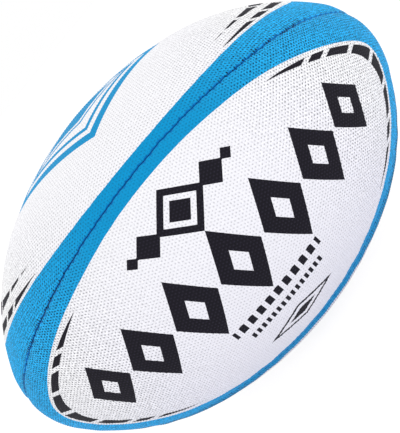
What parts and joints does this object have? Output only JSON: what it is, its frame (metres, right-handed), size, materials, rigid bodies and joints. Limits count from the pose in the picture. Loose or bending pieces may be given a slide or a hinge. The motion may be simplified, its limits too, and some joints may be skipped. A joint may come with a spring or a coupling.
{
  "type": "rugby ball",
  "caption": "Oval training ball of sewn, laminated panels with a pimpled rubber grip, blue bands beside the seams, white oval fields with black dashes, a bladder and a needle valve.",
  "frame": {"origin": "centre of the ball", "axes": "+X along the ball's long axis; the panels face -Y (front), -Z (bottom), +Y (back, with the valve) and +Z (top)"},
  "size_m": [0.298, 0.1875, 0.1876],
  "materials": {
    "grip_rubber": "matt pimpled natural rubber, white and blue with printed black marks",
    "lining_cloth": "plain woven polyester and cotton cloth, bonded in plies",
    "waxed_thread": "waxed twisted polyester thread",
    "bladder_rubber": "smooth moulded synthetic latex and butyl",
    "patch_cloth": "coarse woven reinforcing cloth",
    "patch_rubber": "matt moulded rubber",
    "valve_rubber": "matt moulded rubber",
    "core_rubber": "smooth moulded silicone rubber"
  },
  "bodies": {
    "root": {"front_grip_cover": "grip_rubber", "bottom_grip_cover": "grip_rubber", "back_grip_cover": "grip_rubber", "top_grip_cover": "grip_rubber", "front_outer_ply": "lining_cloth", "front_middle_ply": "lining_cloth", "front_inner_ply": "lining_cloth", "bottom_outer_ply": "lining_cloth", "bottom_middle_ply": "lining_cloth", "bottom_inner_ply": "lining_cloth", "back_outer_ply": "lining_cloth", "back_middle_ply": "lining_cloth", "back_inner_ply": "lining_cloth", "top_outer_ply": "lining_cloth", "top_middle_ply": "lining_cloth", "top_inner_ply": "lining_cloth", "front_top_thread": "waxed_thread", "front_bottom_thread": "waxed_thread", "back_bottom_thread": "waxed_thread", "back_top_thread": "waxed_thread", "bladder": "bladder_rubber", "valve_patch": "patch_cloth", "balance_patch": "patch_rubber", "valve_body": "valve_rubber", "valve_core": "core_rubber"}
  },
  "joints": []
}
